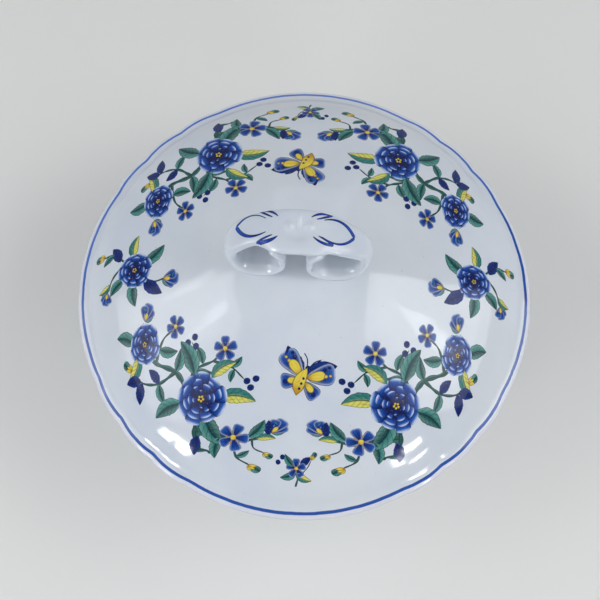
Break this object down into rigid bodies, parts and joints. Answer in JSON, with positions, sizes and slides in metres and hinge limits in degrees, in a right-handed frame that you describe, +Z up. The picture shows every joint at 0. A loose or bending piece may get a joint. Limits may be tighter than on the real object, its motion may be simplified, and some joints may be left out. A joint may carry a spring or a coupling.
{
  "type": "covered rice bowl",
  "caption": "Round footed serving bowl for rice with a domed, lobed lid that lifts straight off by a scrolled strap handle and is located by a flange in the bowl's mouth.",
  "frame": {"origin": "middle of the foot ring, on the surface that the bowl stands on", "axes": "+Z up through the middle of the bowl and lid, X along the handle, -Y towards the viewer of the picture"},
  "size_m": [0.22, 0.22, 0.1575],
  "materials": {
    "white_glaze": "clear glossy glaze over a white body",
    "blue_decoration": "cobalt blue under a glossy glaze",
    "green_decoration": "teal green under a glossy glaze",
    "yellow_decoration": "yellow under a glossy glaze"
  },
  "bodies": {
    "bowl": {"bowl_wall": "white_glaze", "bowl_rim": "white_glaze", "foot_ring": "white_glaze"},
    "lid": {"lid_dome": "white_glaze", "lid_rim": "white_glaze", "lid_flange": "white_glaze", "handle_bridge": "white_glaze", "handle_left_scroll": "white_glaze", "handle_right_scroll": "white_glaze"}
  },
  "joints": [
    {"name": "lid_lift", "type": "slide", "parent": "bowl", "child": "lid", "axis": [0, 0, 1], "range_m": [0, 0.12]}
  ]
}
